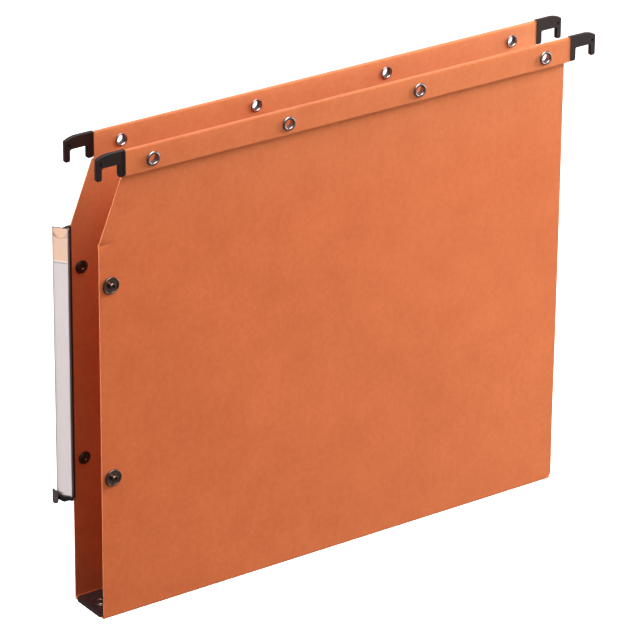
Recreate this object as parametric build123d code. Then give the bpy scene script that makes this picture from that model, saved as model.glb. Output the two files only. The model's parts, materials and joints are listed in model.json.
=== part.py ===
from build123d import *
from math import cos, radians, sin
import os

# Lateral suspension file: a card pocket hung by two rails with hooked ends.
# Millimetres. X runs along the rails, Y from the front panel to the rear one, Z up.
# The origin is midway between the four hook throats, level with their seats.
# Everything on a panel is drawn for the rear one, which faces +Y, and mirrored for the front.

# Card
card = 0.6
pocket_width = 30.0
panel_drop = 282.0
left_reach = 16.8
right_setback = 2.6
slant_run = 15.4
slant_height = 38.5
shoulder_drop = 0.8
panel_corner = 3.0
fold_clearance = 0.3

# Hems and the steel rails in them
hook_spacing = 330.0
hem_top = 7.5
hem_height = 15.3
flap_corner = 1.2
rail_thickness = 1.6
rail_edge_gap = 1.0
rail_end_gap = 0.3
tongue_low = 1.8
tongue_height = 3.6
tongue_reach = 13.3
tongue_corner = 0.8
rail_corner = 0.4

# Hooks
throat_width = 10.9
throat_inner_corner = 0.6
throat_outer_corner = 1.3
outer_leg_width = 3.6
outer_leg_drop = 7.3
outer_leg_corner = 1.1
inner_leg_width = 4.35
inner_leg_drop = 7.9
inner_leg_corner = 1.4
arm_height = 7.7
nose_fall = 2.2
nose_corner = 1.2
crown_run = 8.5
hook_thickness = 2.6
hook_round = 0.4
collar_width = 1.2
collar_proud = 0.3
pit_radius = 1.0
pit_depth = 0.6
pit_inset = 2.6
pit_height = 2.7
tongue_clearance = 0.05

# Eyelets
eyelet_bore_radius = 2.45
eyelet_wall = 0.4
eyelet_flange = 1.6
eyelet_dome = 0.95
eyelet_clinch = 1.05
eyelet_clinch_height = 0.5
eyelet_flare = 0.6
eyelet_flare_depth = 0.6
eyelet_clearance = 0.05
rail_eyelet_count = 4
rail_eyelet_end_inset = 18.2
rail_eyelet_drop = 8.9
base_eyelet_inset = 7.6

# Press fasteners
stud_inset = 7.5
upper_stud_drop = 64.7
lower_stud_rise = 89.2
stud_radius = 5.25
stud_floor = 0.5
stud_rim_width = 1.0
stud_rim_height = 1.0
stud_rim_round = 0.4
knob_radius = 2.0
knob_height = 2.6
knob_bevel = 0.3
socket_clearance = 0.1
socket_height = 2.9
socket_wall = 1.5
post_radius = 4.0
post_height = 0.9
post_edge = 0.3
post_slope = 1.0
post_dimple_radius = 1.0
post_dimple_depth = 0.4
shank_radius = 1.2
shank_reach = 1.9
shank_clearance = 0.05

# Base plate
plate_thickness = 1.2
plate_side_gap = 1.1
plate_lip = 1.0
plate_bend = 1.6
plate_corner = 3.0

# Label holder
label_turn_degrees = 52.0
label_length = 167.5
label_top_rise = 1.5
label_stand_off = 6.2
label_set_back = 0.3
paper_thickness = 0.25
paper_gap = 0.6
paper_clearance = 0.1
paper_foot_gap = 0.3
strip_thickness = 1.0
lens_width = 10.3
lens_front = 0.8
lens_wall = 0.6
lens_lip = 0.8
lens_lip_thickness = 0.5
lens_clearance = 0.1
lens_corner = 0.8
notch_radius = 4.2
notch_depth = 5.8
neck_inset = 1.0
neck_width = 2.2
neck_straight = 1.2
clip_lip = 0.9
clip_inner_grip = 0.5
clip_outer_grip = 1.4
clip_web = 1.2

# Foot of the label holder
foot_thickness = 3.0
foot_wave = 0.5
foot_margin = 0.3
fin_width = 3.5
fin_height = 9.4
fin_thickness = 1.1
fin_overlap = 2.6
fin_drop = 1.9
fin_corner = 1.7
fin_slant = 2.0

overrun = 1.0

# Places that follow from the sizes
panel_inner = pocket_width / 2
panel_outer = panel_inner + card
rail_outer = panel_outer + rail_thickness
hem_outer = rail_outer + card
rail_middle = (panel_outer + rail_outer) / 2
hem_half = hook_spacing / 2 - throat_width / 2 - inner_leg_width
hem_bottom = hem_top - hem_height
bend_radius = rail_thickness / 2 + card
bend_spring = hem_top - bend_radius
shoulder = hem_bottom - shoulder_drop
left_edge = -hem_half - left_reach
right_edge = hem_half - right_setback
slant_foot = shoulder - slant_height
fold_y = panel_inner + card / 2
fold_z = card / 2 - panel_drop
panel_foot = fold_z + card / 2 + fold_clearance
rail_half = hem_half - rail_end_gap
rail_bottom = hem_bottom + rail_edge_gap
tongue_top = tongue_low + tongue_height
tongue_end = hem_half + tongue_reach
throat_inner = hem_half + inner_leg_width
throat_outer = throat_inner + throat_width
nose = throat_outer + outer_leg_width
eyelet_radius = eyelet_bore_radius + eyelet_wall
eyelet_hole = eyelet_radius + eyelet_clearance
eyelet_z = hem_top - rail_eyelet_drop
eyelet_half_span = hem_half - rail_eyelet_end_inset
stud_x = left_edge + stud_inset
stud_heights = (hem_bottom - upper_stud_drop, fold_z + lower_stud_rise)
stud_bore = shank_radius + shank_clearance
plate_half = panel_inner - plate_side_gap
base_top = fold_z + card / 2
base_underside = fold_z - card / 2
label_top = slant_foot + label_top_rise
label_foot = label_top - label_length
strip_front = paper_gap / 2
strip_back = strip_front + strip_thickness
lens_face = strip_front + lens_front
lens_inner_half = lens_width / 2 - lens_wall
lens_back = strip_back + lens_clearance + lens_lip_thickness
strip_half = lens_inner_half - lens_clearance
label_turn = radians(label_turn_degrees)
label_place = Plane(
    origin=(left_edge - label_stand_off, fold_y + label_set_back, label_foot),
    x_dir=(cos(label_turn), -sin(label_turn), 0),
    z_dir=(0, 0, 1),
)


def rail_eyelet_places():
    """X of each eyelet along a rail, evenly spread between the end ones."""
    step = 2 * eyelet_half_span / (rail_eyelet_count - 1)
    return [step * index - eyelet_half_span for index in range(rail_eyelet_count)]


def base_eyelet_places():
    """X of the eyelets near the two ends of the base."""
    return [left_edge + base_eyelet_inset, right_edge - base_eyelet_inset]


def slab(outline, near, far):
    """Prism of an outline drawn in X and Z, between two depths."""
    return extrude(Plane.XZ.offset(-far) * make_face(outline), amount=far - near)


def tile(outline, low, high):
    """Prism of an outline drawn in X and Y, between two heights."""
    return extrude(Plane.XY.offset(low) * make_face(outline), amount=high - low)


def along_y(x, y, z):
    """Working plane whose axis runs out through the rear panel."""
    return Plane(origin=(x, y, z), x_dir=(1, 0, 0), z_dir=(0, 1, 0))


def drill_y(x, z, radius, near, far):
    """Round cutter through the panels."""
    depth = far - near + 2 * overrun
    drill = Cylinder(radius, depth, align=(Align.CENTER, Align.CENTER, Align.MIN))
    return along_y(x, near - overrun, z) * drill


def drill_z(x, y, radius, low, high):
    """Round cutter through the base."""
    depth = high - low + 2 * overrun
    drill = Cylinder(radius, depth, align=(Align.CENTER, Align.CENTER, Align.MIN))
    return Pos(x, y, low - overrun) * drill


def turned(outline):
    """Turned piece from an outline of radius and height."""
    return revolve(Plane.XZ * make_face(outline), axis=Axis.Z)


def panel():
    """Rear card panel: sheet, bend over the rail and the flap of the hem."""
    corners = (
        ((left_edge, panel_foot), 0),
        ((left_edge, slant_foot), panel_corner),
        ((left_edge + slant_run, shoulder), 0),
        ((-hem_half, shoulder), 0),
        ((-hem_half, bend_spring), 0),
        ((hem_half, bend_spring), 0),
        ((hem_half, shoulder), 0),
        ((right_edge, shoulder), 0),
        ((right_edge, panel_foot), panel_corner),
    )
    points = [point for point, _ in corners]
    radii = [radius for _, radius in corners]
    sheet = slab(FilletPolyline(*points, radius=radii, close=True), panel_inner, panel_outer)
    flap_points = (
        (-hem_half, hem_bottom),
        (-hem_half, bend_spring),
        (hem_half, bend_spring),
        (hem_half, hem_bottom),
    )
    flap_radii = (flap_corner, 0, 0, flap_corner)
    flap = slab(FilletPolyline(*flap_points, radius=flap_radii, close=True), rail_outer, hem_outer)
    ring = Circle(bend_radius) - Circle(rail_thickness / 2)
    upper_half = Rectangle(2 * bend_radius, bend_radius, align=(Align.CENTER, Align.MIN))
    bend_start = Plane(origin=(-hem_half, rail_middle, bend_spring), x_dir=(0, 1, 0), z_dir=(1, 0, 0))
    bend = extrude(bend_start * (ring & upper_half), amount=2 * hem_half)
    body = sheet + flap + bend
    for x in rail_eyelet_places():
        body -= drill_y(x, eyelet_z, eyelet_hole, panel_inner, hem_outer)
    for z in stud_heights:
        body -= drill_y(stud_x, z, stud_bore, panel_inner, panel_outer)
    return body


def rail():
    """Rear steel strip, narrowed at both ends to run into the hooks."""
    half_outline = (
        (rail_half, rail_bottom),
        (rail_half, tongue_low),
        (tongue_end, tongue_low),
        (tongue_end, tongue_top),
        (rail_half, tongue_top),
        (rail_half, bend_spring),
    )
    half_radii = (rail_corner, 0, tongue_corner, tongue_corner, 0, rail_corner)
    points = half_outline + tuple((-x, z) for x, z in reversed(half_outline))
    radii = half_radii + tuple(reversed(half_radii))
    strip = slab(FilletPolyline(*points, radius=radii, close=True), panel_outer, rail_outer)
    for x in rail_eyelet_places():
        strip -= drill_y(x, eyelet_z, eyelet_hole, panel_outer, rail_outer)
    return strip


def hook():
    """Right-hand hook of the rear rail: arm, nose and two legs round the throat."""
    crown_start = (nose - crown_run, arm_height)
    nose_top = (nose, arm_height - nose_fall)
    crown = TangentArc(crown_start, nose_top, tangent=(1, 0))
    below = FilletPolyline(
        nose_top,
        (nose, -outer_leg_drop),
        (throat_outer, -outer_leg_drop),
        (throat_outer, 0),
        (throat_inner, 0),
        (throat_inner, -inner_leg_drop),
        (hem_half, -inner_leg_drop),
        (hem_half, arm_height),
        radius=(
            outer_leg_corner,
            outer_leg_corner,
            throat_outer_corner,
            throat_inner_corner,
            inner_leg_corner,
            inner_leg_corner,
        ),
    )
    top = Line((hem_half, arm_height), crown_start)
    outline = make_face(crown + below + top)
    nose_vertex = outline.vertices().sort_by_distance(nose_top)[0]
    outline = fillet(nose_vertex, nose_corner)
    near = rail_middle - hook_thickness / 2
    far = rail_middle + hook_thickness / 2
    body = extrude(Plane.XZ.offset(-far) * outline, amount=hook_thickness)
    rims = [edge for face in body.faces().filter_by(Axis.Y) for edge in face.edges()]
    body = fillet(rims, hook_round)
    collar_outline = Polyline(
        (hem_half, inner_leg_corner - inner_leg_drop),
        (hem_half, arm_height - hook_round),
        (hem_half + collar_width, arm_height - hook_round),
        (hem_half + collar_width, inner_leg_corner - inner_leg_drop),
        close=True,
    )
    body += slab(collar_outline, near - collar_proud, far + collar_proud)
    slot_outline = Polyline(
        (hem_half - overrun, tongue_low - tongue_clearance),
        (hem_half - overrun, tongue_top + tongue_clearance),
        (tongue_end + tongue_clearance, tongue_top + tongue_clearance),
        (tongue_end + tongue_clearance, tongue_low - tongue_clearance),
        close=True,
    )
    body -= slab(slot_outline, panel_outer - tongue_clearance, rail_outer + tongue_clearance)
    pit_x = nose - pit_inset
    body -= drill_y(pit_x, pit_height, pit_radius, near - overrun, near + pit_depth - overrun)
    body -= drill_y(pit_x, pit_height, pit_radius, far - pit_depth + overrun, far + overrun)
    return body


def eyelet(grip):
    """Eyelet along +Z: clinched ring below 0, barrel, domed flange above the grip."""
    flange_radius = eyelet_radius + eyelet_flange
    clinch_radius = eyelet_radius + eyelet_clinch
    dome_middle = ((flange_radius + eyelet_bore_radius) / 2, grip + eyelet_dome)
    dome = ThreePointArc((flange_radius, grip), dome_middle, (eyelet_bore_radius, grip))
    bore_end = (eyelet_bore_radius, eyelet_flare_depth)
    mouth = (eyelet_bore_radius + eyelet_flare, -eyelet_clinch_height)
    bore = Line((eyelet_bore_radius, grip), bore_end)
    flare = TangentArc(bore_end, mouth, tangent=(0, -1))
    roll = TangentArc((clinch_radius, 0), mouth, tangent=(0, -1))
    seats = Polyline((clinch_radius, 0), (eyelet_radius, 0), (eyelet_radius, grip), (flange_radius, grip))
    return turned(dome + bore + flare + roll + seats)


def rail_eyelets():
    """Eyelets through the rear hem, domed on the outside."""
    piece = eyelet(hem_outer - panel_inner)
    return Compound([along_y(x, panel_inner, eyelet_z) * piece for x in rail_eyelet_places()])


def base_eyelets():
    """Eyelets that hold the base plate to the base, domed on the inside."""
    piece = eyelet(card + plate_thickness)
    return Compound([Pos(x, 0, base_underside) * piece for x in base_eyelet_places()])


def stud():
    """Press stud along +Z from its seat: dished disc, raised rim and hollow knob."""
    rim_inner = stud_radius - stud_rim_width
    rim = FilletPolyline(
        (stud_radius, 0),
        (stud_radius, stud_rim_height),
        (rim_inner, stud_rim_height),
        (rim_inner, stud_floor),
        radius=stud_rim_round,
    )
    rest = Polyline(
        (rim_inner, stud_floor),
        (knob_radius, stud_floor),
        (knob_radius, knob_height - knob_bevel),
        (knob_radius - knob_bevel, knob_height),
        (stud_bore, knob_height),
        (stud_bore, 0),
        (stud_radius, 0),
    )
    return turned(rim + rest)


def socket():
    """Socket along +Z from its seat, with a bore that takes the knob of a stud."""
    bore = knob_radius + socket_clearance
    crown_radius = bore + socket_wall
    skirt = FilletPolyline(
        (stud_radius, 0),
        (stud_radius, stud_rim_height),
        (crown_radius, stud_rim_height),
        (crown_radius, socket_height),
        (bore, socket_height),
        radius=(stud_rim_round, 0, stud_rim_round),
    )
    rest = Polyline(
        (bore, socket_height),
        (bore, stud_floor),
        (stud_bore, stud_floor),
        (stud_bore, 0),
        (stud_radius, 0),
    )
    return turned(skirt + rest)


def post(reach):
    """Post along +Z: cap below the card's inner face, shank through card and stud."""
    outline = Polyline(
        (0, post_dimple_depth - post_height),
        (post_dimple_radius, post_dimple_depth - post_height),
        (post_dimple_radius + post_dimple_depth, -post_height),
        (post_radius - post_slope, -post_height),
        (post_radius, -post_edge),
        (post_radius, 0),
        (shank_radius, 0),
        (shank_radius, card + reach),
        (0, card + reach),
        close=True,
    )
    return turned(outline)


def base_card():
    """Bottom of the pocket, rounded along the two creases."""
    outline = SlotCenterToCenter(2 * fold_y, card)
    start = Plane(origin=(left_edge, 0, fold_z), x_dir=(0, 1, 0), z_dir=(1, 0, 0))
    body = extrude(start * outline, amount=right_edge - left_edge)
    for x in base_eyelet_places():
        body -= drill_z(x, 0, eyelet_hole, base_underside, base_top)
    return body


def base_plate():
    """Stiffening plate on the base, its ends turned down over the card's ends."""
    top = base_top + plate_thickness
    points = (
        (left_edge - plate_lip, base_underside),
        (left_edge - plate_lip, top),
        (right_edge + plate_lip, top),
        (right_edge + plate_lip, base_underside),
        (right_edge, base_underside),
        (right_edge, base_top),
        (left_edge, base_top),
        (left_edge, base_underside),
    )
    radii = (0, plate_bend, plate_bend, 0, 0, 0, 0, 0)
    body = slab(FilletPolyline(*points, radius=radii, close=True), -plate_half, plate_half)
    length = right_edge - left_edge + 2 * plate_lip
    plan = RectangleRounded(length, 2 * plate_half, plate_corner)
    middle = (left_edge + right_edge) / 2
    body &= extrude(Pos(middle, 0, base_underside) * plan, amount=top - base_underside)
    for x in base_eyelet_places():
        body -= drill_z(x, 0, eyelet_hole, base_top, top)
    return body


def label_front(depth):
    """Working plane that faces out of the label's front, this far in front of the paper's middle."""
    return Plane(
        origin=label_place.from_local_coords((0, -depth, 0)),
        x_dir=label_place.x_dir,
        z_dir=-label_place.y_dir,
    )


def label_strip():
    """Black strip behind the label, with the neck and the clip on the panel's edge."""
    strip = extrude(
        label_place * Pos(0, (strip_front + strip_back) / 2) * Rectangle(2 * strip_half, strip_thickness),
        amount=label_length,
    )
    web = left_edge - clip_web
    neck_near = strip_half - neck_inset - neck_width
    neck_far = strip_half - neck_inset
    seat = label_place.from_local_coords((neck_near, strip_back, 0))
    seat_end = label_place.from_local_coords((neck_far, strip_back, 0))
    bend = label_place.from_local_coords((neck_far, strip_back + neck_straight, 0))
    neck_outline = Polyline(
        (seat.X, seat.Y),
        (seat_end.X, seat_end.Y),
        (bend.X, bend.Y),
        (web, panel_inner - clip_lip),
        (web, panel_outer + clip_lip),
        close=True,
    )
    neck = tile(neck_outline, label_foot, label_top)
    clip_outline = Polyline(
        (web, panel_inner - clip_lip),
        (left_edge + clip_inner_grip, panel_inner - clip_lip),
        (left_edge + clip_inner_grip, panel_inner),
        (left_edge, panel_inner),
        (left_edge, panel_outer),
        (left_edge + clip_outer_grip, panel_outer),
        (left_edge + clip_outer_grip, panel_outer + clip_lip),
        (web, panel_outer + clip_lip),
        close=True,
    )
    clip = tile(clip_outline, label_foot - foot_thickness, label_top)
    return strip + neck + clip


def label_lens():
    """Clear cover that wraps the strip's edges, rounded at the top, with a thumb notch in its face."""
    section = RectangleRounded(lens_width, lens_face + lens_back, lens_lip_thickness)
    outer = Pos(0, (lens_back - lens_face) / 2) * section
    hollow_depth = strip_front + strip_back + lens_clearance
    hollow = Pos(0, hollow_depth / 2 - strip_front) * Rectangle(2 * lens_inner_half, hollow_depth)
    mouth_half = lens_inner_half - lens_lip
    mouth_depth = lens_back + overrun
    mouth = Pos(0, mouth_depth / 2) * Rectangle(2 * mouth_half, mouth_depth)
    body = extrude(label_place * (outer - hollow - mouth), amount=label_length)
    half = lens_width / 2
    front_view = FilletPolyline(
        (-half, 0),
        (half, 0),
        (half, label_length),
        (-half, label_length),
        radius=(0, 0, lens_corner, lens_corner),
        close=True,
    )
    body &= extrude(label_front(-lens_back) * make_face(front_view), amount=lens_face + lens_back)
    notch_middle = label_length - notch_depth + notch_radius
    notch = Pos(0, notch_middle) * Circle(notch_radius)
    notch += Pos(0, notch_middle) * Rectangle(2 * notch_radius, notch_depth, align=(Align.CENTER, Align.MIN))
    return body - extrude(label_front(strip_front) * notch, amount=lens_face - strip_front + overrun)


def label_paper():
    """Paper label standing in the holder."""
    width = 2 * (lens_inner_half - paper_clearance)
    sheet = Rectangle(width, paper_thickness)
    return extrude(label_place.offset(paper_foot_gap) * sheet, amount=label_length - paper_foot_gap)


def label_end():
    """Black end piece under the strip and the lens, with its thumb fin."""
    half = lens_width / 2 + foot_margin
    front = lens_face + foot_margin
    lower = -foot_thickness
    wave_shares = (-0.45, 0.1, 0.55)
    wave_points = [(half * share, lower + foot_wave * (-1) ** index) for index, share in enumerate(wave_shares)]
    wave = Spline((-half, lower), *wave_points, (half, lower + foot_wave))
    edge = Polyline((half, lower + foot_wave), (half, 0), (-half, 0), (-half, lower))
    face_place = label_front(front)
    body = extrude(face_place * make_face(wave + edge), amount=-(front + lens_back))
    fin_right = fin_overlap - half
    fin_left = fin_right - fin_width
    fin_low = lower - fin_drop
    fin_outline = FilletPolyline(
        (fin_right, fin_low),
        (fin_right, fin_low + fin_height - fin_slant),
        (fin_left, fin_low + fin_height),
        (fin_left, fin_low),
        radius=(fin_corner, 0, 0, fin_corner),
        close=True,
    )
    return body + extrude(face_place * make_face(fin_outline), amount=fin_thickness)


def on_panel(piece):
    """A fastener piece at each height near the left edge, on the panel's outer face."""
    return [along_y(stud_x, panel_outer, z) * piece for z in stud_heights]


def front(piece):
    """The front panel's copy of a piece drawn for the rear panel."""
    return mirror(piece, about=Plane.XZ)


def left(piece):
    """The left-hand copy of a piece drawn for the right-hand end."""
    return mirror(piece, about=Plane.YZ)


def pieces():
    """Every piece of the folder by name."""
    named = {
        "base_card": base_card(),
        "base_plate": base_plate(),
        "base_eyelets": base_eyelets(),
        "label_strip": label_strip(),
        "label_lens": label_lens(),
        "label_end": label_end(),
        "label_paper": label_paper(),
    }
    both_sides = {
        "panel": panel(),
        "rail": rail(),
        "right_hook": hook(),
        "left_hook": left(hook()),
        "rail_eyelets": rail_eyelets(),
    }
    for name, piece in both_sides.items():
        named["rear_" + name] = piece
        named["front_" + name] = front(piece)
    levels = ("upper", "lower")
    posts = on_panel(Pos(0, 0, -card) * post(shank_reach))
    short_posts = on_panel(Pos(0, 0, -card) * post(stud_floor))
    for level, piece in zip(levels, on_panel(stud())):
        named[f"front_{level}_stud"] = front(piece)
    for level, piece in zip(levels, posts):
        named[f"front_{level}_stud_post"] = front(piece)
    for level, piece in zip(levels, on_panel(socket())):
        named[f"rear_{level}_socket"] = piece
    for level, piece in zip(levels, short_posts):
        named[f"rear_{level}_socket_post"] = piece
    return named


os.makedirs("parts", exist_ok=True)
for name, piece in pieces().items():
    export_step(piece, f"parts/{name}.step")
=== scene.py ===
import json
from math import cos, pi, radians, sin, sqrt

import bmesh
import bpy
from mathutils import Matrix, Vector, noise as field


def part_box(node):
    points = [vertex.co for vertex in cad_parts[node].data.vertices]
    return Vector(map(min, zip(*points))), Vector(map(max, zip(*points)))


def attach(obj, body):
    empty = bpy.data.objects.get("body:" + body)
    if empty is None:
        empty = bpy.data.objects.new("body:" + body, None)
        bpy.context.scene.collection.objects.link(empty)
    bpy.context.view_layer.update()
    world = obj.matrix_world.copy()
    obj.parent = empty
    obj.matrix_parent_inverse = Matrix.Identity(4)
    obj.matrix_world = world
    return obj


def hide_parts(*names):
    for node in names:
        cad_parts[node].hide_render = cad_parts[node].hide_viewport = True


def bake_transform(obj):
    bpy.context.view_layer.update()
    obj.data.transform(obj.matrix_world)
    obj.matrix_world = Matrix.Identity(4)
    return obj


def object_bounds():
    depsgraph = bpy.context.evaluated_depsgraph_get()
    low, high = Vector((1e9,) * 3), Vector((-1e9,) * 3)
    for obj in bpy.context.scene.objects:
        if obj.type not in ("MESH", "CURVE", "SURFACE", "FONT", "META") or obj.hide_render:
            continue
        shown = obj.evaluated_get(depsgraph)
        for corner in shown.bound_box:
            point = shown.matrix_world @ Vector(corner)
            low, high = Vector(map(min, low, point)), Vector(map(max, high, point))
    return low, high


# Lateral suspension file in orange kraft card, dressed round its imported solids. Metres throughout.
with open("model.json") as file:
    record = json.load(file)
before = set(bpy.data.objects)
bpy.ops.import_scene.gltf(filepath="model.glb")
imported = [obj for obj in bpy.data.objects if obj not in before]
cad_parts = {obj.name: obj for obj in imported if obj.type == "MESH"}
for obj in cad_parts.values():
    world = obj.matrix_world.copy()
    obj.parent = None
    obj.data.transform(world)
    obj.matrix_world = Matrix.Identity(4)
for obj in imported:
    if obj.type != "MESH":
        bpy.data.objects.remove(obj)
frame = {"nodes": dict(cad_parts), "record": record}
cad_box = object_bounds()
nodes = frame["nodes"]
base_low, base_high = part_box("base_card")
rail_low, rail_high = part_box("rear_rail")
panel_low, panel_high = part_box("rear_panel")
eyelets_low, eyelets_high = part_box("rear_rail_eyelets")
label_low, label_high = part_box("label_paper")
mm = 0.001
even = (1.0, 1.0, 1.0)
end_to_end = (-1.0, 1.0)

# Camera: a long lens from the front left, above the rails
camera_azimuth_degrees = -35.14
camera_elevation_degrees = 24.77
camera_roll_degrees = 0.51
camera_place = (-1.3698, -1.9311, 0.9503)
camera_near = 0.1
camera_far = 50.0
photo_width_px = 640
focal_length_px = 4447.6
sensor_width_mm = 36.0

# Floor, surround and lamp colour
floor_drop = 0.35
floor_half_width = 15.0
floor_roughness = 0.9
floor_colour = (0.5, 0.5, 0.5)
floor_glow = 1.0
sky_top_strength = 0.45
sky_side_strength = 0.2
sky_low_strength = 0.08
sky_left_share = 0.4
sky_right_share = 1.6
cool = (1.0, 1.06, 1.12)

# Shape of the card
card = base_high.z - base_low.z
rail_thickness = rail_high.y - rail_low.y
bend_radius = (rail_thickness + card) / 2
hem_bottom = -7.8 * mm
shoulder = -8.6 * mm
shoulder_step = 0.3 * mm
slant_foot = -47.1 * mm
slant_run = 15.4 * mm
panel_corner = 3.0 * mm
corner_steps = 5
column_step = 4.0 * mm
row_step = 4.0 * mm
hem_row_step = 1.8 * mm
bend_steps = 12
sharp_degrees = 35.0
dent_depth = 0.6 * mm
dent_half = 1.2 * mm
dent_step = 0.4 * mm
dent_length = 9.0 * mm
wave_height = 0.35 * mm
wave_length = 70.0 * mm
wave_margin = 45.0 * mm
wave_offset = 5.0

# Holes for the eyelets of a hem
eyelet_z = (eyelets_low.z + eyelets_high.z) / 2
eyelet_half_span = 137.0 * mm
eyelet_count = 4
eyelet_pitch = 2 * eyelet_half_span / (eyelet_count - 1)
eyelet_hole = 2.9 * mm
hole_segments = 48
cutter_length = 10 * rail_thickness

# Creases between the panels and the base
crease_radius = 0.6 * mm
crease_proud = 0.05 * mm
crease_reach = 1.2 * mm
crease_steps = 10

# Painted light and shade on the card, and where it starts and ends: painted shade over the top bends and at
# the foot of the folds, paler painted light towards the hems, the right and inside the rear
# Painted shade over the top bend of each hem
bend_start_drop = 1.7 * mm
bend_end_drop = 0.5 * mm
bend_shade_span = (panel_high.z - bend_start_drop, panel_high.z - bend_end_drop)
bend_shade_tone = 0.72
# Painted shade at the foot of each fold
fold_start_drop = 0.2 * mm
fold_end_rise = 1.1 * mm
fold_shade_span = (base_low.z - fold_start_drop, base_low.z + fold_end_rise)
# Painted light: the card paler towards the hems, the right and inside the rear, and darker and redder to the
# left
light_tint_height = (-60.0 * mm, -5.0 * mm)
rear_light_tint_height = (-110.0 * mm, -15.0 * mm)
light_tint_width = (panel_low.x, base_high.x)
light_tint_depth = (-10.0 * mm, 10.0 * mm)
light_tint_facing = (0.2, -0.2)
hem_light_tint = (1.0, 1.12, 1.3)
left_shade_tint = (0.97, 0.91, 0.88)
right_light_tint = (0.98, 1.05, 1.16)
rear_light_tint = (1.03, 1.29, 1.5)
pale_weights = (0.75, 1.35, 1.9)

# Colours and surfaces
kraft_colour = (0.7, 0.157, 0.039)
kraft_edge_colour = (0.7, 0.25, 0.1)
# A brighter orange for the inside of the folds: a painted highlight
kraft_fold_highlight_colour = (0.95, 0.34, 0.14)
hook_colour = (0.022, 0.0125, 0.0115)
plate_colour = (0.024, 0.012, 0.0115)
holder_colour = (0.014, 0.0105, 0.0105)
fin_colour = (0.075, 0.055, 0.055)
nickel_colour = (0.42, 0.33, 0.325)
gunmetal_colour = (0.26, 0.17, 0.14)
dark_gunmetal_colour = (0.07, 0.07, 0.062)
steel_colour = (0.5, 0.5, 0.5)
card_surface = {"Roughness": 0.72, "Specular IOR Level": 0.2, "Sheen Weight": 0.1, "Sheen Roughness": 0.6}
satin = {"Specular IOR Level": 0.35}

# Textures: noise scale per metre and detail
card_clouds = (45.0, 4.0)
card_blotches = (260.0, 3.0)
card_streaks = (420.0, 2.0)
card_fibres = (600.0, 2.0)
card_specks = (700.0, 1.0)
card_tooth = (1500.0, 4.0)
plastic_clouds = (250.0, 4.0)
plastic_gloss = (500.0, 3.0)
plastic_grain = (6000.0, 2.0)
metal_clouds = (400.0, 4.0)
metal_gloss = (900.0, 3.0)
metal_grain = (3000.0, 2.0)
paper_clouds = (1200.0, 3.0)
paper_grain = (2500.0, 3.0)

# Strength of the textures
noise_roughness = 0.55
wide_band = (0.3, 0.7)
narrow_band = (0.4, 0.6)
streak_stretch = (1.0, 1.0, 0.1)
streak_spread = 0.007
fibre_stretch = (1.0, 1.0, 0.6)
speck_tones = ((0.22, 0.88), (0.27, 1.0), (0.73, 1.0), (0.78, 1.08))
tooth_strength = 0.1
tooth_depth = 0.05 * mm
plastic_spread = 0.1
plastic_gloss_spread = 0.08
metal_spread = 0.12
metal_gloss_spread = 0.25
metal_grain_strength = 0.05
grain_depth = 0.02 * mm
paper_spread = 0.03
paper_strength = 0.08
paper_depth = 0.03 * mm

# Label holder: its end piece's fin, and how much the lens hides by the way that it faces, left to right
label_turn_degrees = 52.0
fin_edge = -2.85 * mm
fin_fade = 0.05 * mm
lens_surface = {"Roughness": 0.06, "IOR": 1.46}
lens_clear = 0.06
# The lens's whiter, more opaque rounded corners are a painted reflection, and its darker top cut edges are
# painted shade
lens_left_corner_reflection = 0.35
lens_right_corner_reflection = 0.75
lens_left_turns = (0.0, 0.08, 0.3, 0.42)
lens_right_turns = (0.58, 0.68, 0.95, 1.0)
lens_colour = (0.95, 0.92, 0.92)
lens_cut_shade = 0.85
lens_cut_shade_colour = (0.3, 0.2, 0.16)
lens_cut_facing = (0.2, 0.5)

# Label paper
label_roughness = 0.55
header_height = 21.0 * mm
header_line = 0.8 * mm
header_colour = (0.85, 0.55, 0.4)
header_gap_colour = (0.88, 0.72, 0.64)
rule_colour = (0.4, 0.35, 0.37)
blank_colour = (0.72, 0.64, 0.645)


def socket_values(node, values):
    """Sets a shader node's input sockets by name."""
    for name, value in values.items():
        node.inputs[name].default_value = value


def new_material(name, **values):
    """A material with a Principled shader, its constant sockets set."""
    material = bpy.data.materials.new(name)
    material.use_nodes = True
    shader = material.node_tree.nodes["Principled BSDF"]
    socket_values(shader, values)
    return material, material.node_tree, shader


def object_place(tree, stretch=even, turn_degrees=0.0, output="Object"):
    """The folder's own coordinates or normal, turned about Z. A small stretch draws a texture out."""
    place = tree.nodes.new("ShaderNodeTexCoord")
    mapping = tree.nodes.new("ShaderNodeMapping")
    socket_values(mapping, {"Scale": stretch, "Rotation": (0.0, 0.0, radians(turn_degrees))})
    tree.links.new(place.outputs[output], mapping.inputs["Vector"])
    return mapping.outputs["Vector"]


def noise(tree, texture, stretch=even):
    """Noise in the folder's own coordinates."""
    scale, detail = texture
    node = tree.nodes.new("ShaderNodeTexNoise")
    socket_values(node, {"Scale": scale, "Detail": detail, "Roughness": noise_roughness})
    tree.links.new(object_place(tree, stretch), node.inputs["Vector"])
    return node.outputs["Fac"]


def share_between(tree, vector, axis, span):
    """0 at the start to 1 at the end of a span, along one axis of a vector."""
    split = tree.nodes.new("ShaderNodeSeparateXYZ")
    tree.links.new(vector, split.inputs["Vector"])
    share = tree.nodes.new("ShaderNodeMapRange")
    socket_values(share, {"From Min": span[0], "From Max": span[1]})
    tree.links.new(split.outputs[axis], share.inputs["Value"])
    return share.outputs["Result"]


def along(tree, axis, span, turn_degrees=0.0):
    """0 at the start to 1 at the end of a span, along one axis of the folder's own coordinates."""
    return share_between(tree, object_place(tree, turn_degrees=turn_degrees), axis, span)


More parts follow.
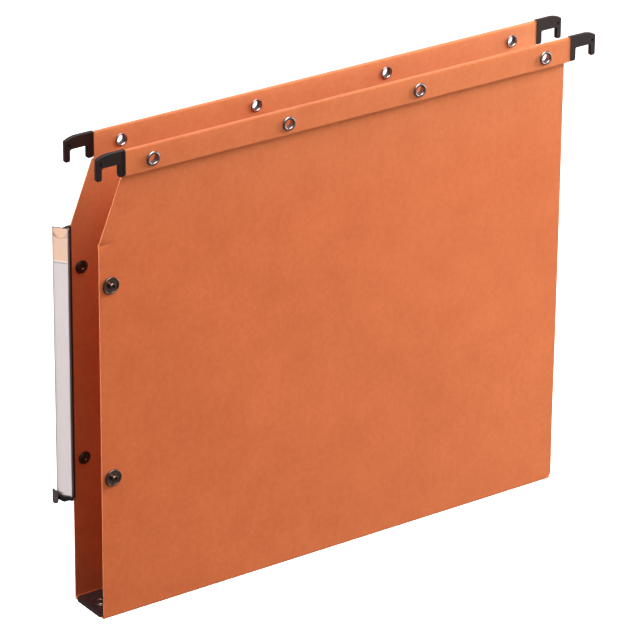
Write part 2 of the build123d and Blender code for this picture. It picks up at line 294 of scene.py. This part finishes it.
def ramp(tree, share, stops, interpolation="LINEAR"):
    """Colour ramp through (position, colour) stops."""
    node = tree.nodes.new("ShaderNodeValToRGB")
    node.color_ramp.interpolation = interpolation
    elements = node.color_ramp.elements
    while len(elements) < len(stops):
        elements.new(0.5)
    for element, (position, colour) in zip(elements, stops):
        element.position = position
        element.color = (*colour, 1.0)
    tree.links.new(share, node.inputs["Fac"])
    return node.outputs["Color"]


def shaded(tree, share, first, second):
    """Colour that goes from one to another with a share."""
    return ramp(tree, share, ((0.0, first), (1.0, second)))


def blended(tree, blend_type, first, second):
    """Full blend of two colours."""
    node = tree.nodes.new("ShaderNodeMix")
    node.data_type = "RGBA"
    node.blend_type = blend_type
    node.inputs["Factor"].default_value = 1.0
    sockets = [socket for socket in node.inputs if socket.enabled and socket.name in ("A", "B")]
    for colour, socket in zip((first, second), sockets):
        tree.links.new(colour, socket)
    return next(socket for socket in node.outputs if socket.enabled)


def multiplied(tree, first, *others):
    """Product of colours."""
    for other in others:
        first = blended(tree, "MULTIPLY", first, other)
    return first


def product(tree, first, *others):
    """Product of shares."""
    for other in others:
        node = tree.nodes.new("ShaderNodeMath")
        node.operation = "MULTIPLY"
        for share, socket in zip((first, other), node.inputs):
            tree.links.new(share, socket)
        first = node.outputs["Value"]
    return first


def bump(tree, shader, texture, strength, depth):
    """Fine relief on a shader's normal."""
    node = tree.nodes.new("ShaderNodeBump")
    socket_values(node, {"Strength": strength, "Distance": depth})
    tree.links.new(noise(tree, texture), node.inputs["Height"])
    tree.links.new(node.outputs["Normal"], shader.inputs["Normal"])


def grey(value):
    """A grey colour."""
    return (value,) * 3


def tones(colour, spread, weights):
    """A colour darkened and lightened by a share, weighted for red, green and blue."""
    shifts = [spread * weight for weight in weights]
    darker = [value * (1 - shift) for value, shift in zip(colour, shifts)]
    lighter = [value * (1 + shift) for value, shift in zip(colour, shifts)]
    return darker, lighter


def clouded(tree, texture, colour, spread, weights=even, band=wide_band, stretch=even):
    """A colour that drifts darker and lighter by a share."""
    stops = zip(band, tones(colour, spread, weights))
    return ramp(tree, noise(tree, texture, stretch), list(stops))


def mottle(tree, texture, spread, weights=even, stretch=even):
    """Tone that varies about white by a share."""
    return clouded(tree, texture, grey(1.0), spread, weights, narrow_band, stretch)


def painted_light_tint(tree):
    """Painted light on the card: paler towards the hems and the right, and most inside the rear side, where
    the light falls brightest; darker and redder to the left.
    """
    white = grey(1.0)
    hem = shaded(tree, along(tree, "Z", light_tint_height), white, hem_light_tint)
    across = shaded(tree, along(tree, "X", light_tint_width), left_shade_tint, right_light_tint)
    high = along(tree, "Z", rear_light_tint_height)
    behind = along(tree, "Y", light_tint_depth)
    facing = share_between(tree, object_place(tree, output="Normal"), "Y", light_tint_facing)
    rear = shaded(tree, product(tree, high, behind, facing), white, rear_light_tint)
    return multiplied(tree, hem, across, rear)


def card_material(name, colour, cloud_spread, blotch_spread, fold_shade_tone=1.0):
    """Kraft card, cloudy and blotchy, with faint fibres and specks, and dry; painted light makes it paler
    towards the hems, the right and inside the rear, and painted shade darkens its top bends and the foot of
    a fold.
    """
    material, tree, shader = new_material(name, **card_surface)
    white = grey(1.0)
    tone = multiplied(
        tree,
        clouded(tree, card_clouds, colour, cloud_spread, pale_weights),
        mottle(tree, card_blotches, blotch_spread, pale_weights),
        mottle(tree, card_streaks, streak_spread, pale_weights, streak_stretch),
        mottle(tree, card_fibres, blotch_spread, pale_weights, fibre_stretch),
        ramp(tree, noise(tree, card_specks), [(place, grey(value)) for place, value in speck_tones]),
        # Painted light: paler towards the hems, the right and inside the rear
        painted_light_tint(tree),
        # Painted shade over the top bends of the hems, and at the foot of a fold for its shaded copy
        shaded(tree, along(tree, "Z", bend_shade_span), white, grey(bend_shade_tone)),
        shaded(tree, along(tree, "Z", fold_shade_span), grey(fold_shade_tone), white),
    )
    tree.links.new(tone, shader.inputs["Base Color"])
    bump(tree, shader, card_tooth, tooth_strength, tooth_depth)
    return material


def satin_finish(tree, shader, roughness, grain):
    """Slightly uneven gloss and a fine grain, as moulded plastic has."""
    gloss = clouded(tree, plastic_gloss, grey(roughness), plastic_gloss_spread)
    tree.links.new(gloss, shader.inputs["Roughness"])
    bump(tree, shader, plastic_grain, grain, grain_depth)


def plastic_material(name, colour, roughness, grain, **values):
    """Moulded plastic, slightly clouded."""
    material, tree, shader = new_material(name, **values)
    tree.links.new(clouded(tree, plastic_clouds, colour, plastic_spread), shader.inputs["Base Color"])
    satin_finish(tree, shader, roughness, grain)
    return material


def end_material(name, roughness, grain):
    """Plastic of the label's end piece, with a lighter thumb fin at its left."""
    material, tree, shader = new_material(name)
    turn = radians(label_turn_degrees)
    middle = (label_low + label_high) / 2
    edge = middle.x * cos(turn) - middle.y * sin(turn) + fin_edge
    place = along(tree, "X", (edge - fin_fade, edge + fin_fade), label_turn_degrees)
    tone = shaded(tree, place, fin_colour, holder_colour)
    tone = multiplied(tree, tone, mottle(tree, plastic_clouds, plastic_spread))
    tree.links.new(tone, shader.inputs["Base Color"])
    satin_finish(tree, shader, roughness, grain)
    return material


def metal_material(name, colour, roughness):
    """Plated metal, a little uneven."""
    material, tree, shader = new_material(name, Metallic=1.0)
    tree.links.new(clouded(tree, metal_clouds, colour, metal_spread), shader.inputs["Base Color"])
    gloss = clouded(tree, metal_gloss, grey(roughness), metal_gloss_spread)
    tree.links.new(gloss, shader.inputs["Roughness"])
    bump(tree, shader, metal_grain, metal_grain_strength, grain_depth)
    return material


def lens_material(name):
    """Clear cover: hardly seen face on, with a painted reflection that makes its rounded corners whiter and
    painted shade that darkens its cut top edges.
    """
    material, tree, shader = new_material(name, **lens_surface)
    normal = object_place(tree, turn_degrees=label_turn_degrees, output="Normal")
    across = share_between(tree, normal, "X", end_to_end)
    up = share_between(tree, normal, "Z", lens_cut_facing)
    stops = []
    for turns, corner in ((lens_left_turns, lens_left_corner_reflection), (lens_right_turns, lens_right_corner_reflection)):
        stops += zip(turns, map(grey, (lens_clear, corner, corner, lens_clear)))
    top = shaded(tree, up, grey(0.0), grey(lens_cut_shade))
    tree.links.new(blended(tree, "LIGHTEN", ramp(tree, across, stops), top), shader.inputs["Alpha"])
    tree.links.new(shaded(tree, up, lens_colour, lens_cut_shade_colour), shader.inputs["Base Color"])
    return material


def label_material(name):
    """Label paper: peach header, a pale gap and a thin grey rule above a blank lilac-white field."""
    material, tree, shader = new_material(name, Roughness=label_roughness)
    length = label_high.z - label_low.z
    rule = 1.0 - header_height / length
    line = header_line / length
    stops = [(0.0, blank_colour), (rule - line, rule_colour)]
    stops += [(rule, header_gap_colour), (rule + line, header_colour)]
    bands = ramp(tree, along(tree, "Z", (label_low.z, label_high.z)), stops, "CONSTANT")
    clouds = clouded(tree, paper_clouds, grey(1.0), paper_spread)
    tree.links.new(multiplied(tree, bands, clouds), shader.inputs["Base Color"])
    bump(tree, shader, paper_grain, paper_strength, paper_depth)
    return material


kraft = card_material("card", kraft_colour, cloud_spread=0.05, blotch_spread=0.02)
kraft_edge = card_material("card_edge", kraft_edge_colour, cloud_spread=0.04, blotch_spread=0.04)
# A copy of the card with painted shade at the foot of its fold
kraft_shaded_bend = card_material("card_shaded_bend", kraft_colour, cloud_spread=0.05, blotch_spread=0.02, fold_shade_tone=0.45)
# A brighter copy of the card: a painted highlight along the inside of a fold
kraft_fold_highlight = card_material("card_fold_highlight", kraft_fold_highlight_colour, cloud_spread=0.04, blotch_spread=0.03)
gunmetal = metal_material("gunmetal", gunmetal_colour, roughness=0.22)
dark_gunmetal = metal_material("dark_gunmetal", dark_gunmetal_colour, roughness=0.3)
end_plastic = end_material("end_plastic", roughness=0.4, grain=0.05)

finishes = {
    "card": kraft,
    "hook_plastic": plastic_material("hook_plastic", hook_colour, roughness=0.32, grain=0.08, **satin),
    "plate_plastic": plastic_material("plate_plastic", plate_colour, roughness=0.4, grain=0.02, **satin),
    "holder_plastic": plastic_material("holder_plastic", holder_colour, roughness=0.35, grain=0.04),
    "eyelet_nickel": metal_material("nickel", nickel_colour, roughness=0.22),
    "fastener_gunmetal": gunmetal,
    "rail_steel": metal_material("steel", steel_colour, roughness=0.3),
    "lens_plastic": lens_material("lens_plastic"),
    "label_paper": label_material("label_stock"),
}


def finish_of(name, slot_name):
    """Material of a node: its slot's, apart from the nodes that have their own."""
    if name.endswith("_post"):
        return dark_gunmetal
    if name == "base_eyelets":
        return gunmetal
    if name == "label_end":
        return end_plastic
    return finishes[slot_name]


for subpart in frame["record"]["subparts"]:
    node_materials = nodes[subpart["node"]].data.materials
    node_materials.clear()
    node_materials.append(finish_of(subpart["node"], subpart["material_slot"]))


def in_scene(name, data):
    """A new object in the scene."""
    item = bpy.data.objects.new(name, data)
    bpy.context.scene.collection.objects.link(item)
    return item


def mesh_of(name, shape):
    """Mesh with an edited shape, which is freed."""
    mesh = bpy.data.meshes.new(name)
    shape.to_mesh(mesh)
    shape.free()
    return mesh


def smoothed(mesh):
    """Shades a mesh smooth up to its sharp edges."""
    mesh.shade_smooth()
    mesh.set_sharp_from_angle(angle=radians(sharp_degrees))
    return mesh


def even_steps(start, end, step):
    """Even places from start to end, no further apart than about a step."""
    count = max(2, round(abs(end - start) / step))
    return [start + (end - start) * index / count for index in range(count + 1)]


def smooth_step(value, high):
    """0 for a value up to zero, 1 for one from high upwards, with a smooth rise between."""
    share = min(1.0, max(0.0, value / high))
    return share * share * (3 - 2 * share)


def panel_ends(z, left, foot):
    """Left and right end of a panel at a height: its slant above, its round corner below."""
    rise = max(0.0, (z - slant_foot) / (shoulder - slant_foot))
    cut = max(0.0, panel_corner - (z - foot))
    return left + slant_run * rise, base_high.x - panel_corner + sqrt(panel_corner**2 - cut**2)


def panel_rows(low, high, panel_y):
    """Rows of a panel as (distance out, height, left end, right end), from foot to hem and down the flap."""
    dent_low = slant_foot - dent_half
    dent_high = slant_foot + dent_half
    corner_angles = [pi / 2 * index / corner_steps for index in range(corner_steps)]
    heights = [low.z + panel_corner * (1 - cos(angle)) for angle in corner_angles]
    heights += even_steps(low.z + panel_corner, dent_low, row_step)[:-1]
    heights += even_steps(dent_low, dent_high, dent_step)[:-1]
    heights += even_steps(dent_high, shoulder, row_step)
    rows = [(panel_y, z, *panel_ends(z, low.x, low.z)) for z in heights]

    bend_spring = high.z - bend_radius - card / 2
    line = [(panel_y, z) for z in even_steps(shoulder + shoulder_step, bend_spring, hem_row_step)]
    for index in range(1, bend_steps):
        angle = pi * index / bend_steps
        line.append((panel_y + bend_radius * (1 - cos(angle)), bend_spring + bend_radius * sin(angle)))
    line += [(panel_y + 2 * bend_radius, z) for z in even_steps(bend_spring, hem_bottom, hem_row_step)]
    return rows + [(y, z, -high.x, high.x) for y, z in line]


def wave_at(x, z, side, low):
    """Slight wave of a panel, which dies out towards its left edge, its foot and its hem."""
    calm = smooth_step(shoulder - z, wave_margin) * smooth_step(z - low.z, wave_margin)
    calm *= smooth_step(x - low.x, wave_margin)
    return wave_height * calm * field.noise(Vector((x / wave_length, wave_offset * side, z / wave_length)))


def dent_at(x, z, left):
    """Small dent that runs in from the foot of the slant."""
    near = max(0.0, 1.0 - (x - left) / dent_length)
    return dent_depth * near * max(0.0, 1.0 - abs(z - slant_foot) / dent_half)


def panel_sheet(side, low, high, panel_y):
    """A panel with its hem as one sheet with no thickness. The front one, at side -1, has the dent."""
    shares = even_steps(0.0, 1.0, column_step / (base_high.x - low.x))
    sheet = bmesh.new()
    grid = []
    for y, z, left, right in panel_rows(low, high, panel_y):
        line = []
        for share in shares:
            x = left + (right - left) * share
            out = y + wave_at(x, z, side, low)
            if side < 0:
                out -= dent_at(x, z, left)
            line.append(sheet.verts.new((x, side * out, z)))
        grid.append(line)
    for below, above in zip(grid, grid[1:]):
        for index in range(len(shares) - 1):
            face = (below[index], below[index + 1], above[index + 1], above[index])
            sheet.faces.new(face if side < 0 else face[::-1])
    return sheet


def eyelet_cutter(y):
    """Round bars through the places of a hem's eyelets."""
    bars = bmesh.new()
    size = {"radius1": eyelet_hole, "radius2": eyelet_hole, "depth": cutter_length}
    for x in even_steps(-eyelet_half_span, eyelet_half_span, eyelet_pitch):
        place = Matrix.Translation((x, y, eyelet_z)) @ Matrix.Rotation(pi / 2, 4, "X")
        bmesh.ops.create_cone(bars, cap_ends=True, segments=hole_segments, matrix=place, **size)
    return in_scene("eyelet_bars", mesh_of("eyelet_bars", bars))


def add_panel(side, name):
    """Card panel with its hem: one sheet from the foot, over the rail and down the flap, with its holes."""
    node = f"{name}_panel"
    low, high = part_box(node)
    panel_y = min(abs(low.y), abs(high.y)) + card / 2
    mesh = mesh_of(f"{node}_sheet", panel_sheet(side, low, high, panel_y))
    mesh.materials.append(kraft)
    mesh.materials.append(kraft_edge)
    sheet = in_scene(f"{node}_sheet", mesh)
    thick = sheet.modifiers.new("thickness", "SOLIDIFY")
    thick.thickness = card
    thick.offset = 0.0
    thick.material_offset_rim = 1
    cutter = eyelet_cutter(side * (panel_y + bend_radius))
    cut = sheet.modifiers.new("eyelet_holes", "BOOLEAN")
    cut.object = cutter
    cut.solver = "EXACT"
    bpy.context.view_layer.update()
    final = bpy.data.meshes.new_from_object(sheet.evaluated_get(bpy.context.evaluated_depsgraph_get()))
    final.name = f"{name}_card"
    for leftover in (sheet, cutter):
        bpy.data.objects.remove(leftover)
    piece = in_scene(f"{name}_card", smoothed(final))
    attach(piece, f"{name}_side")
    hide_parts(node)


def crease_path(fold_y, fold_z):
    """Middle line round a fold as (distance out, height, angle), from the base up to the panel."""
    centre_y = fold_y - crease_radius
    centre_z = fold_z + crease_radius
    path = [(centre_y - crease_reach, fold_z, 0.0)]
    for index in range(crease_steps + 1):
        angle = pi / 2 * index / crease_steps
        path.append((centre_y + crease_radius * sin(angle), centre_z - crease_radius * cos(angle), angle))
    return path + [(fold_y, centre_z + crease_reach, pi / 2)]


def crease_strip(side, path):
    """Strip of card along a crease. Its outer face, inner face and ends have material slots 0, 1 and 2."""
    half = card / 2 + crease_proud
    strip = bmesh.new()
    rings = []
    for x in even_steps(base_low.x, base_high.x - panel_corner, column_step):
        outer = [(x, side * (y + half * sin(turn)), z - half * cos(turn)) for y, z, turn in path]
        inner = [(x, side * (y - half * sin(turn)), z + half * cos(turn)) for y, z, turn in reversed(path)]
        rings.append([strip.verts.new(point) for point in outer + inner])
    for ring, following in zip(rings, rings[1:]):
        for index in range(len(ring)):
            after = (index + 1) % len(ring)
            face = strip.faces.new((ring[index], ring[after], following[after], following[index]))
            face.material_index = int(index >= len(path))
    for end_ring in (rings[0], rings[-1]):
        strip.faces.new(end_ring).material_index = 2
    bmesh.ops.recalc_face_normals(strip, faces=strip.faces)
    return strip


def add_crease(side, name):
    """Strip of card bent round a fold, from the base up to the panel, that follows both."""
    fold_y = base_high.y - card / 2
    fold_z = (base_low.z + base_high.z) / 2
    mesh = smoothed(mesh_of(f"{name}_crease", crease_strip(side, crease_path(fold_y, fold_z))))
    # Outer face: card with painted shade at the foot of the fold; inner face: a painted highlight along the
    # fold; ends: cut edge
    for material in (kraft_shaded_bend, kraft_fold_highlight, kraft_edge):
        mesh.materials.append(material)
    piece = in_scene(f"{name}_crease", mesh)
    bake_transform(piece)


for panel_side, panel_name in ((1, "rear"), (-1, "front")):
    add_panel(panel_side, panel_name)
    add_crease(panel_side, panel_name)


def turned_to(direction):
    """Turn of a camera or lamp that looks in a direction."""
    return direction.to_track_quat("-Z", "Y").to_matrix().to_4x4()


def add_camera():
    """Camera at the photograph's viewing angle."""
    azimuth = radians(camera_azimuth_degrees)
    elevation = radians(camera_elevation_degrees)
    back = Vector((sin(azimuth) * cos(elevation), -cos(azimuth) * cos(elevation), sin(elevation)))
    data = bpy.data.cameras.new("camera")
    data.sensor_width = sensor_width_mm
    data.lens = sensor_width_mm * focal_length_px / photo_width_px
    data.clip_start = camera_near
    data.clip_end = camera_far
    camera = in_scene("camera", data)
    roll = Matrix.Rotation(radians(camera_roll_degrees), 4, "Z")
    camera.matrix_world = Matrix.Translation(camera_place) @ turned_to(-back) @ roll
    bpy.context.scene.camera = camera


def add_floor():
    """Plain pale floor, clear of the file when it hangs unfolded, that throws no light back on it."""
    low = cad_box[0].z - floor_drop
    signs = ((-1, -1), (1, -1), (1, 1), (-1, 1))
    mesh = bpy.data.meshes.new("floor")
    corners = [(floor_half_width * x, floor_half_width * y, low) for x, y in signs]
    mesh.from_pydata(corners, [], [(0, 1, 2, 3)])
    material, _, shader = new_material("floor", Roughness=floor_roughness)
    glow = {"Emission Color": (*even, 1.0), "Emission Strength": floor_glow}
    socket_values(shader, {"Base Color": (*floor_colour, 1.0), **glow})
    mesh.materials.append(material)
    floor = in_scene("floor", mesh)
    floor.visible_diffuse = False
    floor.visible_glossy = False


def add_area_light(name, place, aim, size, power, colour=even, lights=True, mirrored=False):
    """Soft square lamp that faces a point. It lights matt surfaces, shows in glossy ones, or both."""
    data = bpy.data.lights.new(name, "AREA")
    data.shape = "SQUARE"
    data.size = size
    data.energy = power
    data.color = colour
    lamp = in_scene(name, data)
    lamp.visible_camera = False
    lamp.visible_diffuse = lights
    lamp.visible_glossy = mirrored
    lamp.matrix_world = Matrix.Translation(place) @ turned_to(Vector(aim) - Vector(place))


def add_sky():
    """Soft surround, brighter overhead and to the right."""
    world = bpy.data.worlds.new("surround")
    world.use_nodes = True
    tree = world.node_tree
    place = tree.nodes.new("ShaderNodeTexCoord").outputs["Generated"]
    stops = ((0.0, grey(sky_low_strength)), (0.5, grey(sky_side_strength)), (1.0, grey(sky_top_strength)))
    height = ramp(tree, share_between(tree, place, "Z", end_to_end), stops)
    across = share_between(tree, place, "X", end_to_end)
    tilt = shaded(tree, across, grey(sky_left_share), grey(sky_right_share))
    tree.links.new(multiplied(tree, height, tilt), tree.nodes["Background"].inputs["Color"])
    bpy.context.scene.world = world


add_camera()
add_floor()
add_sky()
mirror = {"lights": False, "mirrored": True}
add_area_light("top_light", (0.1, -0.4, 1.25), aim=(0.0, 0.0, -0.1), size=1.3, power=7.0, mirrored=True)
add_area_light("near_top_light", (0.2, -0.25, 1.0), aim=(0.1, 0.0, -0.1), size=0.6, power=5.0, mirrored=True)
add_area_light("right_light", (1.5, -0.16, 0.38), aim=(0.05, 0.0, -0.1), size=0.5, power=86.0, colour=cool)
add_area_light("low_light", (1.0, -1.2, -0.05), aim=(0.05, 0.0, -0.2), size=0.7, power=9.5)
add_area_light("top_mirror", (-0.3, -0.9, 1.2), aim=(0.0, 0.0, -0.1), size=1.3, power=20.0, **mirror)
add_area_light("right_mirror", (1.2, -0.75, -0.1), aim=(0.0, 0.0, 0.0), size=0.8, power=5.0, **mirror)
add_area_light("back_light", (0.3, 1.6, 0.35), aim=(0.0, 0.0, -0.15), size=1.0, power=14.0)
add_area_light("left_light", (-1.4, 0.25, 0.3), aim=(-0.15, 0.0, -0.1), size=0.5, power=24.0)
bpy.context.scene.view_settings.view_transform = "Standard"
